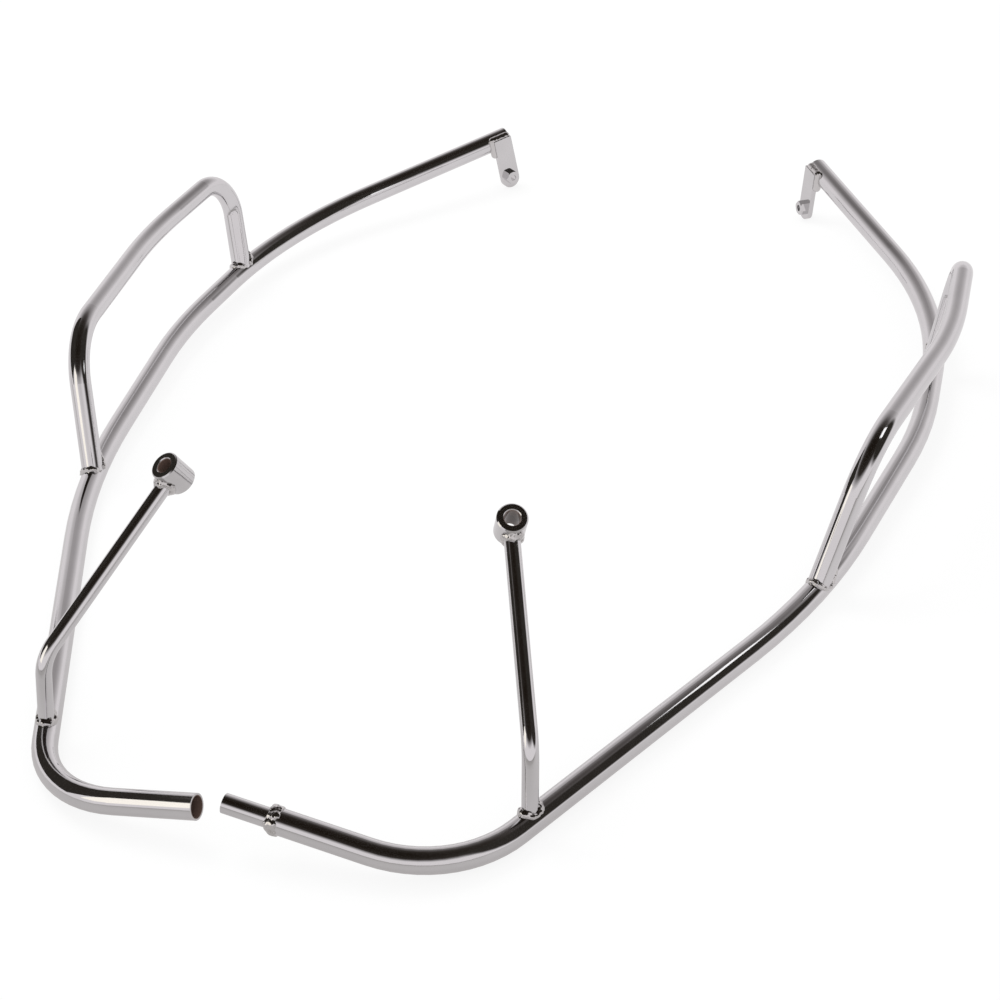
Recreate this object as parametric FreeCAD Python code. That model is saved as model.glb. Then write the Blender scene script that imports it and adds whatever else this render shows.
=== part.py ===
import FreeCAD, Part
import math
import os

# Scooter cowl guard: two mirrored halves of bent steel tube, laid out side by side before fitting.
# Millimetres. +Y points to the scooter's front, +X to its right and +Z up. The floor is z = 0.
# The right half is modelled, and the left half is its mirror image in the plane x = 0.

V = FreeCAD.Vector
UP = V(0, 0, 1)
FLOOR = 0.0

# Overall sizes, to the axes: mirror plane to bow, rear joint to front end, floor to boss
HALF_WIDTH = 287.5
LENGTH = 833.0
HEIGHT = 128.0

# Stock
TUBE_OD = 16.0
TUBE_WALL = 1.5
HOOP_STEP = 1.0
HOOP_OD = TUBE_OD - HOOP_STEP
HOOP_WALL = 1.5
ROD_OD = 10.0


def at(across, ahead, rise):
    """Point at shares of the overall half width, length and height."""
    return V(across * HALF_WIDTH, ahead * LENGTH, FLOOR + rise * HEIGHT)


# Main tube: corner points of its axis and the bend radius at each inner corner
LYING = TUBE_OD / 2 / HEIGHT
REAR_END = at(0.0883, 0.0, 0.1914)
REAR_CORNER = at(0.4585, -0.0018, LYING)
SHOULDER = at(0.9183, 0.3727, LYING)
BOW = at(1.0, 0.6158, 0.0961)
NOSE = at(0.9384, 0.8028, 0.1367)
FRONT_END = at(0.4664, 1.0, 0.3148)
CORNER_BEND = 77.0
SHOULDER_BEND = 500.0
BOW_BEND = 340.0
NOSE_BEND = 270.0

# Hoop: where its feet stand, measured along the main tube from the rear end, and its upper corners
HOOP_REAR_FOOT = 438.0
HOOP_FRONT_FOOT = 729.0
HOOP_REAR_TOP = at(0.9889, 0.4328, 0.7359)
HOOP_CROWN = at(1.057, 0.6216, 0.6992)
HOOP_FRONT_TOP = at(1.0153, 0.7549, 0.7148)
HOOP_REAR_BEND = 55.0
HOOP_CROWN_BEND = 300.0
HOOP_FRONT_BEND = 26.0

# Stay and the boss on its top
STAY_FOOT = 157.5
STAY_KNEE = at(0.5416, 0.0792, 0.432)
BOSS_CENTRE = at(0.3823, 0.2084, 1.0)
STAY_BEND = 26.0
BOSS_OD = 19.0
BOSS_BORE = 9.6
BOSS_LENGTH = 20.0
BOSS_TWIST = 7.0
BOSS_CHAMFER = 0.8

# Front tab, a strap lapped on the tube's inner side with its round foot on the floor
TAB_WIDTH = 16.0
TAB_THICKNESS = 4.0
TAB_HOLE = 6.6
TAB_LAP = 4.0
TAB_SEAT = 1.0
TAB_TILT = 5.0
HOLE_RISE = 2.0

# Weld nut on the tab
NUT_FLATS = 10.0
NUT_HEIGHT = 5.0
NUT_THREAD = 5.0
NUT_CHAMFER = 0.6

# Joint spigot, let into the right half's rear end
SPIGOT_SLACK = 0.5
SPIGOT_OD = TUBE_OD - 2 * TUBE_WALL - 2 * SPIGOT_SLACK
SPIGOT_WALL = 1.5
SPIGOT_OUT = 34.0
SPIGOT_IN = 30.0

# Weld beads
WELD_LEG = 3.0
SPIGOT_WELD_LENGTH = 5.0
SPIGOT_WELD_STEP = 0.4

# Layout: how far the left half lies behind the right one
LEFT_SET_BACK = 1.7


def unit(vector):
    """Copy of a vector with length 1."""
    return V(vector).normalize()


def bent_axis(corners, radii):
    """Wire through corner points, with each inner corner rounded to its bend radius."""
    edges = []
    start = corners[0]
    for before, corner, after, radius in zip(corners, corners[1:], corners[2:], radii):
        back = unit(before - corner)
        ahead = unit(after - corner)
        half_angle = back.getAngle(ahead) / 2
        reach = radius / math.tan(half_angle)
        middle = corner + unit(back + ahead) * (radius / math.sin(half_angle) - radius)
        bend_start = corner + back * reach
        bend_end = corner + ahead * reach
        edges.append(Part.LineSegment(start, bend_start).toShape())
        edges.append(Part.Arc(bend_start, middle, bend_end).toShape())
        start = bend_end
    edges.append(Part.LineSegment(start, corners[-1]).toShape())
    return Part.Wire(edges)


def along(axis, distance):
    """Point and forward direction on a wire, at a distance from its start."""
    edges = axis.OrderedEdges
    while len(edges) > 1 and distance > edges[0].Length:
        distance -= edges.pop(0).Length
    place = edges[0].getParameterByLength(min(distance, edges[0].Length))
    return edges[0].valueAt(place), edges[0].tangentAt(place)


def round_bar(axis, diameter):
    """Solid with a round section that follows a wire."""
    start, direction = along(axis, 0.0)
    section = Part.makeCircle(diameter / 2, start, direction)
    return axis.makePipe(Part.Face(Part.Wire(section)))


def tube(axis, diameter, wall):
    """Hollow tube that follows a wire, open at both ends."""
    return round_bar(axis, diameter).cut(round_bar(axis, diameter - 2 * wall))


def straight_bar(start, end, diameter):
    """Round bar between two points."""
    return Part.makeCylinder(diameter / 2, (end - start).Length, start, end - start)


def capsule(start, end, radius):
    """Round bar between two points, with ball ends."""
    bar = straight_bar(start, end, 2 * radius)
    return bar.fuse([Part.makeSphere(radius, start), Part.makeSphere(radius, end)]).removeSplitter()


def weld_ring(foot, leg_bar, run_bar, reach):
    """Fillet weld round the joint where a bar stands on another, outside both."""
    joined = run_bar.fuse(leg_bar)
    seam = []
    for edge in joined.Edges:
        is_joint = edge.Curve.TypeId == "Part::GeomBSplineCurve"
        if is_joint and (edge.CenterOfMass - foot).Length < reach:
            seam.append(edge)
    return largest(joined.makeFillet(WELD_LEG, seam).cut([run_bar, leg_bar]))


def largest(shape):
    """Biggest solid of a shape."""
    return max(shape.Solids, key=lambda solid: solid.Volume)


def stand(shape, origin, x_axis, z_axis):
    """Move a shape from the world axes to a local frame."""
    y_axis = z_axis.cross(x_axis)
    shape.Placement = FreeCAD.Placement(origin, FreeCAD.Rotation(x_axis, y_axis, z_axis, "ZXY"))
    return shape


def spigot_parts(rear, outward):
    """Joint spigot and the tapered weld that holds it in the tube's rear end."""
    tip = rear + outward * SPIGOT_OUT
    heel = rear - outward * SPIGOT_IN
    outside = straight_bar(heel, tip, SPIGOT_OD)
    inside = straight_bar(heel, tip, SPIGOT_OD - 2 * SPIGOT_WALL)
    wide = TUBE_OD / 2 - SPIGOT_WELD_STEP
    narrow = SPIGOT_OD / 2 + SPIGOT_WELD_STEP
    taper = Part.makeCone(wide, narrow, SPIGOT_WELD_LENGTH, rear, outward)
    return {"joint_spigot": outside.cut(inside), "spigot_weld": taper.cut(outside)}


def hoop_parts(main_axis, main_bar):
    """Hoop with its coped feet and the bead round each foot."""
    rear_foot = along(main_axis, HOOP_REAR_FOOT)[0]
    front_foot = along(main_axis, HOOP_FRONT_FOOT)[0]
    corners = [rear_foot, HOOP_REAR_TOP, HOOP_CROWN, HOOP_FRONT_TOP, front_foot]
    axis = bent_axis(corners, [HOOP_REAR_BEND, HOOP_CROWN_BEND, HOOP_FRONT_BEND])
    bar = round_bar(axis, HOOP_OD)
    return {
        "hoop": largest(tube(axis, HOOP_OD, HOOP_WALL).cut(main_bar)),
        "hoop_rear_weld": weld_ring(rear_foot, bar, main_bar, TUBE_OD),
        "hoop_front_weld": weld_ring(front_foot, bar, main_bar, TUBE_OD),
    }


def stay_parts(main_axis, main_bar):
    """Bent stay, the boss across its top and the bead at each end."""
    foot = along(main_axis, STAY_FOOT)[0]
    axis = bent_axis([foot, STAY_KNEE, BOSS_CENTRE], [STAY_BEND])
    rod = round_bar(axis, ROD_OD)
    rising = unit(BOSS_CENTRE - STAY_KNEE)
    level = unit(rising.cross(UP))
    boss_axis = FreeCAD.Rotation(rising, BOSS_TWIST).multVec(level.cross(rising))
    boss_end = BOSS_CENTRE - boss_axis * (BOSS_LENGTH / 2)
    blank = Part.makeCylinder(BOSS_OD / 2, BOSS_LENGTH, boss_end, boss_axis)
    bushing = blank.cut(Part.makeCylinder(BOSS_BORE / 2, BOSS_LENGTH, boss_end, boss_axis))
    rims = [edge for edge in bushing.Edges if edge.isClosed()]
    return {
        "stay": largest(rod.cut([main_bar, blank])),
        "stay_boss": bushing.makeChamfer(BOSS_CHAMFER, rims),
        "stay_weld": weld_ring(foot, rod, main_bar, TUBE_OD),
        "boss_weld": weld_ring(BOSS_CENTRE, rod, blank, BOSS_OD),
    }


def weld_nut():
    """Hexagon nut standing on z = 0, chamfered on top, with its thread left as a plain bore."""
    corner = NUT_FLATS / math.sqrt(3)
    outline = [V(corner, 0, 0)]
    for step in range(1, 7):
        outline.append(V(corner * math.cos(step * math.pi / 3), corner * math.sin(step * math.pi / 3), 0))
    block = Part.Face(Part.makePolygon(outline)).extrude(UP * NUT_HEIGHT)
    turned = Part.makeCylinder(corner, NUT_HEIGHT)
    rim = [edge for edge in turned.Edges if edge.isClosed() and edge.CenterOfMass.z > NUT_HEIGHT / 2]
    turned = turned.makeChamfer(NUT_CHAMFER, rim)
    return block.common(turned).cut(Part.makeCylinder(NUT_THREAD / 2, NUT_HEIGHT))


def tab_parts(main_axis, main_bar):
    """Front tab, its weld nut and the bead along its lap on the tube."""
    end, forward = along(main_axis, main_axis.Length)
    inward = unit(UP.cross(forward))
    tilt = FreeCAD.Rotation(forward, TAB_TILT)
    face = tilt.multVec(inward)
    down = tilt.multVec(forward.cross(inward) * -1)
    half = TAB_WIDTH / 2

    # The tab's back lies a little inside the tube's side, and its front edge is flush with the tube's end
    seat = end - forward * half + face * (TUBE_OD / 2 - TAB_SEAT)
    foot_fall = half * math.sqrt(1 - face.z ** 2)
    drop = (seat.z - foot_fall - FLOOR) / -down.z
    blank = Part.Wire([
        Part.LineSegment(V(-half, -drop, 0), V(-half, TAB_LAP, 0)).toShape(),
        Part.LineSegment(V(-half, TAB_LAP, 0), V(half, TAB_LAP, 0)).toShape(),
        Part.LineSegment(V(half, TAB_LAP, 0), V(half, -drop, 0)).toShape(),
        Part.Arc(V(half, -drop, 0), V(0, -drop - half, 0), V(-half, -drop, 0)).toShape(),
    ])
    strap = Part.Face(blank).extrude(UP * TAB_THICKNESS)
    strap = strap.cut(Part.makeCylinder(TAB_HOLE / 2, TAB_THICKNESS, V(0, HOLE_RISE - drop, 0)))
    strap = stand(strap, seat, forward * -1, face)
    nut_place = seat + down * (drop - HOLE_RISE) + face * TAB_THICKNESS
    nut = stand(weld_nut(), nut_place, forward, face)

    top_middle = seat - down * TAB_LAP
    rear_top = top_middle - forward * half
    front_top = top_middle + forward * (half - WELD_LEG)
    rear_bottom = rear_top + down * (TAB_LAP + TUBE_OD / 2)
    bead = capsule(rear_top, front_top, WELD_LEG).fuse(capsule(rear_top, rear_bottom, WELD_LEG))
    return {
        "front_tab": largest(strap.cut(main_bar)),
        "tab_nut": nut,
        "tab_weld": largest(bead.cut([main_bar, strap])),
    }


def right_half():
    """All pieces of the right half but the spigot, by name, and the axis of its main tube."""
    corners = [REAR_END, REAR_CORNER, SHOULDER, BOW, NOSE, FRONT_END]
    axis = bent_axis(corners, [CORNER_BEND, SHOULDER_BEND, BOW_BEND, NOSE_BEND])
    bar = round_bar(axis, TUBE_OD)
    pieces = {"main_tube": tube(axis, TUBE_OD, TUBE_WALL)}
    pieces.update(hoop_parts(axis, bar))
    pieces.update(stay_parts(axis, bar))
    pieces.update(tab_parts(axis, bar))
    return pieces, axis


def main():
    os.makedirs("parts", exist_ok=True)
    pieces, axis = right_half()
    guard = {}
    for name, shape in pieces.items():
        guard["right_" + name] = shape
        left = shape.mirror(V(0, 0, 0), V(1, 0, 0))
        left.translate(V(0, -LEFT_SET_BACK, 0))
        guard["left_" + name] = left
    rear, forward = along(axis, 0.0)
    guard.update(spigot_parts(rear, forward * -1))
    outline = Part.makeCompound(list(guard.values())).optimalBoundingBox()
    for name, shape in guard.items():
        shape.translate(V(0, -outline.Center.y, FLOOR - outline.ZMin))
        shape.exportStep("parts/" + name + ".step")


main()
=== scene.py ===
import math

import bpy
import numpy as np
from mathutils import Matrix, Vector, noise


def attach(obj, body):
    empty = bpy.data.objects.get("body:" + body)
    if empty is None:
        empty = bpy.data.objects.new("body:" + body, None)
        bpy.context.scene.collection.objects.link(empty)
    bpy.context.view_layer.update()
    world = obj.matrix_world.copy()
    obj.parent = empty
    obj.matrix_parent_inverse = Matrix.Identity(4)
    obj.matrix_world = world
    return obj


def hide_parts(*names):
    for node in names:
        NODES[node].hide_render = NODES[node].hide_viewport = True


# Scooter cowl guard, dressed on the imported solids. Metres. +Y points to the scooter's front, +X to its
# right and +Z up. The floor is z = 0.

# Photograph's camera
CAMERA_AZIMUTH = math.radians(22.06)
CAMERA_ELEVATION = math.radians(34.08)
CAMERA_ROLL = math.radians(-4.08)
CAMERA_TARGET = Vector((0.0224, -0.0384, -0.0029))
CAMERA_DISTANCE = 1.6991
CAMERA_LENS = 88.49
CAMERA_SENSOR = 36.0

# Chrome. A look is its dark and its light colour, its least and its most roughness, and the size and the
# depth of the waves that polishing left.
PLATE_LOOK = ((0.66, 0.655, 0.665), (0.74, 0.735, 0.745), 0.05, 0.10, 0.02, 0.00002)
FITTING_LOOK = ((0.60, 0.595, 0.60), (0.70, 0.695, 0.70), 0.05, 0.12, 0.008, 0.00003)
WELD_LOOK = ((0.54, 0.53, 0.52), (0.70, 0.69, 0.69), 0.04, 0.10, 0.004, 0.0001)
CLOUD_SCALE = 45.0
CLOUD_DETAIL = 4.0
CLOUD_LOW, CLOUD_HIGH = 0.35, 0.65
WAVE_DETAIL = 2.0

# Bare bores of the left tube's open end and of the bosses. The end face is found in two passes, by how
# squarely it looks outward.
TUBE_BORE = 0.0068
BOSS_BORE = 0.0050
BORE_FADE = 0.0003
BORE_DEPTH = 0.05
BORE_STEEL = (0.15, 0.10, 0.083)
RIM_FACING = (0.7, 0.99)
RIM_REACH = 0.012

# Weld beads, grown from the solid fillets
BEAD_GRID = 0.00045
BEAD_SWELL = 0.0019
BEAD_RIPPLE = 0.0010
BEAD_PITCH = 0.0050
BEAD_LEAST_RIPPLES = 3
BEAD_WANDER_SIZE = 4 * BEAD_PITCH
BEAD_MEAN_PUDDLE = 0.6
BEAD_GRAIN = 0.0014
BEAD_GRAIN_SIZE = 0.0035
BEAD_MELT = 6
LAP_BEAD = 0.3

# Studio, as the metal mirrors it. A patch has a colour, the azimuth from +Y to +X and the elevation that
# it is aimed at, the angle within which it is full and the angle at which it ends, all in degrees. A later
# patch lies over the ones before it.
WALL = (0.875, 0.838, 0.848)
STUDIO = (
    ((0.26, 0.245, 0.245), 0, -90, 90.6, 92.5),
    (WALL, -22, 0, 118, 138),
    ((0.14, 0.126, 0.124), 0, 78, 22, 66),
    ((0.034, 0.028, 0.024), 180, 80, 34, 54),
    ((0.014, 0.010, 0.007), 180, 80, 10, 36),
    ((0.030, 0.026, 0.022), 78, 35, 24, 33),
)
# Panels near the object that only the metal mirrors: name, colour, centre, width and height
PANELS = (
    ("flag", (0.03, 0.026, 0.022), (-0.95, -0.17, 0.58), 1.15, 0.80),
    ("softbox", (1.35, 1.28, 1.16), (-0.60, -0.90, 0.50), 0.42, 0.50),
    ("window", (1.40, 1.40, 1.40), (0.445, 0.046, 0.403), 0.11, 0.11),
)

# Floor, white to the camera. The metal mirrors painted shade on it: dark near the camera and pale from the
# middle on.
FLOOR_SIZE = 40.0
FLOOR_DROP = 0.0002
FLOOR_GLOW = 0.85
FLOOR_MATT = (0.9, 0.9, 0.9)
FLOOR_NEAR_SHADE = (0.36, 0.338, 0.325)
FLOOR_FAR = (0.79, 0.757, 0.765)
FLOOR_NEAR_Y, FLOOR_FAR_Y = -0.75, 0.0
WHITE = (1, 1, 1)

# Soft key lamp
KEY_PLACE = (-1.2, 0.6, 2.0)
KEY_SIZE = 1.2
KEY_POWER = 20.0

TUBES = ("hoop", "stay")
FITTINGS = ("front_tab", "tab_nut")
RING_WELDS = ("hoop_rear_weld", "hoop_front_weld", "stay_weld", "boss_weld")

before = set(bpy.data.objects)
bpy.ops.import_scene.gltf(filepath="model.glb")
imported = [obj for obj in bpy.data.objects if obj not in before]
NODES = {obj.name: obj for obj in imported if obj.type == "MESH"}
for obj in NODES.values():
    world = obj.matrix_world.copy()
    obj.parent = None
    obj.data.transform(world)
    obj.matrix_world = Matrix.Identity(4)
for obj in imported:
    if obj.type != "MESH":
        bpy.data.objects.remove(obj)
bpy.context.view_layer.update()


def object_place(tree):
    """The object's own coordinates, which are metres in the shared frame."""
    return tree.nodes.new("ShaderNodeTexCoord").outputs["Object"]


def noise_node(tree, scale, detail):
    """Noise in the object's own coordinates."""
    texture = tree.nodes.new("ShaderNodeTexNoise")
    texture.inputs["Scale"].default_value = scale
    texture.inputs["Detail"].default_value = detail
    tree.links.new(object_place(tree), texture.inputs["Vector"])
    return texture.outputs["Fac"]


def spread(tree, source, low, high, to_min, to_max):
    """Maps source from low..high to to_min..to_max."""
    ramp = tree.nodes.new("ShaderNodeMapRange")
    ramp.inputs["From Min"].default_value = low
    ramp.inputs["From Max"].default_value = high
    ramp.inputs["To Min"].default_value = to_min
    ramp.inputs["To Max"].default_value = to_max
    tree.links.new(source, ramp.inputs["Value"])
    return ramp.outputs["Result"]


def vector_math(tree, operation, source, other=(0, 0, 0)):
    """The outputs of one vector operation on a source and a constant."""
    step = tree.nodes.new("ShaderNodeVectorMath")
    step.operation = operation
    step.inputs[1].default_value = other
    tree.links.new(source, step.inputs[0])
    return step.outputs


def colour_mix(tree, factor):
    """A colour mix with its factor linked."""
    mix = tree.nodes.new("ShaderNodeMix")
    mix.data_type = "RGBA"
    tree.links.new(factor, mix.inputs["Factor"])
    return mix


def tint(tree, factor, dark, light):
    """A colour between dark and light."""
    mix = colour_mix(tree, factor)
    mix.inputs["A"].default_value = (*dark, 1)
    mix.inputs["B"].default_value = (*light, 1)
    return mix.outputs["Result"]


def over(tree, below, colour, mask):
    """A colour laid over another where mask is 1."""
    mix = colour_mix(tree, mask)
    mix.inputs["B"].default_value = (*colour, 1)
    tree.links.new(below, mix.inputs["A"])
    return mix.outputs["Result"]


def bump(tree, shader, height, distance):
    """Relief on a shader, from a height between 0 and 1 that stands for a distance."""
    node = tree.nodes.new("ShaderNodeBump")
    node.inputs["Strength"].default_value = 1.0
    node.inputs["Distance"].default_value = distance
    tree.links.new(height, node.inputs["Height"])
    tree.links.new(node.outputs["Normal"], shader.inputs["Normal"])


def chrome(name, dark, light, rough_min, rough_max, wave_size, wave_depth):
    """Bright plate: a faint cloudiness in colour and gloss over slow waves left by polishing."""
    material = bpy.data.materials.new(name)
    material.use_nodes = True
    tree = material.node_tree
    shader = tree.nodes["Principled BSDF"]
    shader.inputs["Metallic"].default_value = 1.0
    cloud = noise_node(tree, CLOUD_SCALE, CLOUD_DETAIL)
    gloss = spread(tree, cloud, CLOUD_LOW, CLOUD_HIGH, rough_min, rough_max)
    tree.links.new(tint(tree, cloud, dark, light), shader.inputs["Base Color"])
    tree.links.new(gloss, shader.inputs["Roughness"])
    bump(tree, shader, noise_node(tree, 1.0 / wave_size, WAVE_DETAIL), wave_depth)
    return material


def end_face(mesh, outward):
    """The centre and the axis of the flat end that looks outward."""
    last = max(v.co @ outward for v in mesh.vertices)
    end = [p for p in mesh.polygons if p.center @ outward > last - RIM_REACH]
    axis = outward
    for facing in RIM_FACING:
        rim = [p for p in end if p.normal @ axis > facing]
        axis = sum((p.normal * p.area for p in rim), Vector()).normalized()
    corners = {i for p in rim for i in p.vertices}
    centre = sum((mesh.vertices[i].co for i in corners), Vector()) / len(corners)
    return centre, axis


def bare_bore(material, node, outward, radius):
    """Leaves a bore as brown bare steel, near the end face that looks outward."""
    tree = material.node_tree
    shader = tree.nodes["Principled BSDF"]
    centre, axis = end_face(NODES[node].data, Vector(outward))

    local = vector_math(tree, "SUBTRACT", object_place(tree), centre)["Vector"]
    across = vector_math(tree, "CROSS_PRODUCT", local, axis)["Vector"]
    offset = vector_math(tree, "LENGTH", across)["Value"]
    inside = spread(tree, offset, radius, radius + BORE_FADE, 1.0, 0.0)
    height = vector_math(tree, "DOT_PRODUCT", local, axis)["Value"]
    near = spread(tree, height, -BORE_DEPTH - BORE_FADE, -BORE_DEPTH, 0.0, 1.0)
    both = tree.nodes.new("ShaderNodeMath")
    both.operation = "MULTIPLY"
    tree.links.new(inside, both.inputs[0])
    tree.links.new(near, both.inputs[1])
    bare = both.outputs[0]

    plated = shader.inputs["Base Color"].links[0].from_socket
    tree.links.new(over(tree, plated, BORE_STEEL, bare), shader.inputs["Base Color"])
    tree.links.new(spread(tree, bare, 0.0, 1.0, 1.0, 0.0), shader.inputs["Metallic"])


def regrid(piece, smoothing):
    """Gives a piece one closed skin on an even grid, and smooths it."""
    grid = piece.modifiers.new("grid", "REMESH")
    grid.mode = "VOXEL"
    grid.voxel_size = BEAD_GRID
    grid.use_smooth_shade = True
    melt = piece.modifiers.new("melt", "SMOOTH")
    melt.iterations = smoothing
    evaluated = piece.evaluated_get(bpy.context.evaluated_depsgraph_get())
    mesh = bpy.data.meshes.new_from_object(evaluated)
    piece.modifiers.clear()
    piece.data = mesh
    return mesh


def bead(node, material, strength=1.0):
    """The rippled bead that stands for a solid fillet: overlapping puddles round the joint."""
    piece = bpy.data.objects.new(node + ".bead", NODES[node].data.copy())
    bpy.context.scene.collection.objects.link(piece)
    mesh = regrid(piece, 0)

    points = np.array([v.co for v in mesh.vertices])
    local = points - points.mean(axis=0)
    _, axes = np.linalg.eigh(np.cov(local.T))
    across, along = local @ axes[:, 2], local @ axes[:, 1]
    radius = np.hypot(across, along).mean()
    ripples = max(BEAD_LEAST_RIPPLES, round(2 * math.pi * radius / BEAD_PITCH))
    for vertex, angle in zip(mesh.vertices, np.arctan2(along, across)):
        wander = noise.noise(vertex.co / BEAD_WANDER_SIZE)
        phase = (ripples * angle / (2 * math.pi) + wander) % 1.0
        puddle = math.sqrt(1.0 - (2.0 * phase - 1.0) ** 2)
        grain = noise.noise(vertex.co / BEAD_GRAIN_SIZE)
        rise = BEAD_SWELL + BEAD_RIPPLE * (puddle - BEAD_MEAN_PUDDLE) + BEAD_GRAIN * grain
        vertex.co += vertex.normal * (strength * rise)

    mesh = regrid(piece, BEAD_MELT)
    mesh.materials.clear()
    mesh.materials.append(material)
    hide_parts(node)
    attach(piece, "root")


def paint(node, material):
    """Gives a solid its finish."""
    mesh = NODES[node].data
    mesh.materials.clear()
    mesh.materials.append(material)


def set_camera():
    """The camera of the photograph, from its target, its distance and its three angles."""
    cosine = math.cos(CAMERA_ELEVATION)
    back = Vector((
        math.sin(CAMERA_AZIMUTH) * cosine,
        -math.cos(CAMERA_AZIMUTH) * cosine,
        math.sin(CAMERA_ELEVATION),
    ))
    level = Vector((0, 0, 1)).cross(back).normalized()
    upright = back.cross(level)
    right = level * math.cos(CAMERA_ROLL) + upright * math.sin(CAMERA_ROLL)
    up = back.cross(right)
    data = bpy.data.cameras.new("photo_camera")
    data.lens = CAMERA_LENS
    data.sensor_width = CAMERA_SENSOR
    camera = bpy.data.objects.new("photo_camera", data)
    bpy.context.scene.collection.objects.link(camera)
    camera.matrix_world = Matrix((
        (right.x, up.x, back.x, 0),
        (right.y, up.y, back.y, 0),
        (right.z, up.z, back.z, 0),
        (0, 0, 0, 1),
    ))
    camera.location = CAMERA_TARGET + back * CAMERA_DISTANCE
    bpy.context.scene.camera = camera


def stage_material(name):
    """A new material with an empty node tree, the tree and the socket for its surface."""
    material = bpy.data.materials.new(name)
    material.use_nodes = True
    tree = material.node_tree
    tree.nodes.clear()
    return material, tree, tree.nodes.new("ShaderNodeOutputMaterial").inputs["Surface"]


def set_floor():
    """A white floor that keeps a faint shadow."""
    bpy.ops.mesh.primitive_plane_add(size=FLOOR_SIZE, location=(0, 0, -FLOOR_DROP))
    floor = bpy.context.object
    floor.name = "floor"
    material, tree, surface = stage_material("white_floor")
    mix = tree.nodes.new("ShaderNodeMixShader")
    mix.inputs["Fac"].default_value = FLOOR_GLOW
    matt = tree.nodes.new("ShaderNodeBsdfDiffuse")
    matt.inputs["Color"].default_value = (*FLOOR_MATT, 1)
    glow = tree.nodes.new("ShaderNodeEmission")
    place = tree.nodes.new("ShaderNodeSeparateXYZ")
    tree.links.new(object_place(tree), place.inputs[0])
    # Painted shade for the metal's reflections: the floor glows darker near the camera and paler from the
    # middle on.
    depth = spread(tree, place.outputs["Y"], FLOOR_NEAR_Y, FLOOR_FAR_Y, 0.0, 1.0)
    mirrored = tint(tree, depth, FLOOR_NEAR_SHADE, FLOOR_FAR)
    path = tree.nodes.new("ShaderNodeLightPath")
    seen = over(tree, mirrored, WHITE, path.outputs["Is Camera Ray"])
    tree.links.new(seen, glow.inputs["Color"])
    tree.links.new(matt.outputs[0], mix.inputs[1])
    tree.links.new(glow.outputs[0], mix.inputs[2])
    tree.links.new(mix.outputs[0], surface)
    floor.data.materials.append(material)


def sky_patch(tree, direction, azimuth, elevation, full, none):
    """1 within the angle full of the aim, falling to 0 at the angle none, in degrees."""
    turn, rise = math.radians(azimuth), math.radians(elevation)
    aim = (math.sin(turn) * math.cos(rise), math.cos(turn) * math.cos(rise), math.sin(rise))
    cosine = vector_math(tree, "DOT_PRODUCT", direction, aim)["Value"]
    return spread(tree, cosine, math.cos(math.radians(none)), math.cos(math.radians(full)), 0.0, 1.0)


def set_world():
    """A white studio under a dark ceiling. Only the metal's reflections see more than plain white."""
    world = bpy.data.worlds.new("studio")
    bpy.context.scene.world = world
    world.use_nodes = True
    tree = world.node_tree
    direction = tree.nodes.new("ShaderNodeTexCoord").outputs["Generated"]
    wall = tree.nodes.new("ShaderNodeRGB")
    wall.outputs[0].default_value = (*WALL, 1)
    room = wall.outputs[0]
    for colour, *patch in STUDIO:
        room = over(tree, room, colour, sky_patch(tree, direction, *patch))
    path = tree.nodes.new("ShaderNodeLightPath")
    seen = colour_mix(tree, path.outputs["Is Glossy Ray"])
    seen.inputs["A"].default_value = (*WHITE, 1)
    tree.links.new(room, seen.inputs["B"])
    tree.links.new(seen.outputs["Result"], tree.nodes["Background"].inputs["Color"])


def add_panel(name, colour, place, width, height):
    """A studio panel that faces the object and is out of every view but the metal's."""
    bpy.ops.mesh.primitive_plane_add(size=1.0, location=place)
    panel = bpy.context.object
    panel.name = "studio_" + name
    panel.scale = (width, height, 1.0)
    panel.rotation_mode = "QUATERNION"
    panel.rotation_quaternion = (-Vector(place)).to_track_quat("Z", "Y")
    panel.visible_camera = False
    panel.visible_diffuse = False
    panel.visible_transmission = False
    panel.visible_volume_scatter = False
    panel.visible_shadow = False
    material, tree, surface = stage_material("studio_" + name)
    glow = tree.nodes.new("ShaderNodeEmission")
    glow.inputs["Color"].default_value = (*colour, 1)
    tree.links.new(glow.outputs[0], surface)
    panel.data.materials.append(material)


def add_lamp(name, place, size, power):
    """A square lamp that faces the object and isn't mirrored in it."""
    data = bpy.data.lights.new(name, "AREA")
    data.size = size
    data.energy = power
    lamp = bpy.data.objects.new(name, data)
    bpy.context.scene.collection.objects.link(lamp)
    lamp.location = place
    lamp.visible_glossy = False
    lamp.rotation_mode = "QUATERNION"
    lamp.rotation_quaternion = (-Vector(place)).to_track_quat("-Z", "Y")


plate = chrome("bright_chrome", *PLATE_LOOK)
fitting = chrome("fitting_chrome", *FITTING_LOOK)
weld = chrome("weld_chrome", *WELD_LOOK)
open_plate = chrome("open_tube_chrome", *PLATE_LOOK)
bare_bore(open_plate, "left_main_tube", (1, 0, 0), TUBE_BORE)

for side, main_plate in (("right", plate), ("left", open_plate)):
    paint(f"{side}_main_tube", main_plate)
    for tube in TUBES:
        paint(f"{side}_{tube}", plate)
    for part in FITTINGS:
        paint(f"{side}_{part}", fitting)
    boss = chrome(f"{side}_boss_chrome", *FITTING_LOOK)
    bare_bore(boss, f"{side}_stay_boss", (0, 0, 1), BOSS_BORE)
    paint(f"{side}_stay_boss", boss)
    for joint in RING_WELDS:
        bead(f"{side}_{joint}", weld)
    bead(f"{side}_tab_weld", weld, LAP_BEAD)
paint("joint_spigot", plate)
bead("spigot_weld", weld)

set_camera()
set_floor()
set_world()
for panel in PANELS:
    add_panel(*panel)
add_lamp("key", KEY_PLACE, KEY_SIZE, KEY_POWER)

bpy.context.scene.view_settings.view_transform = "Standard"
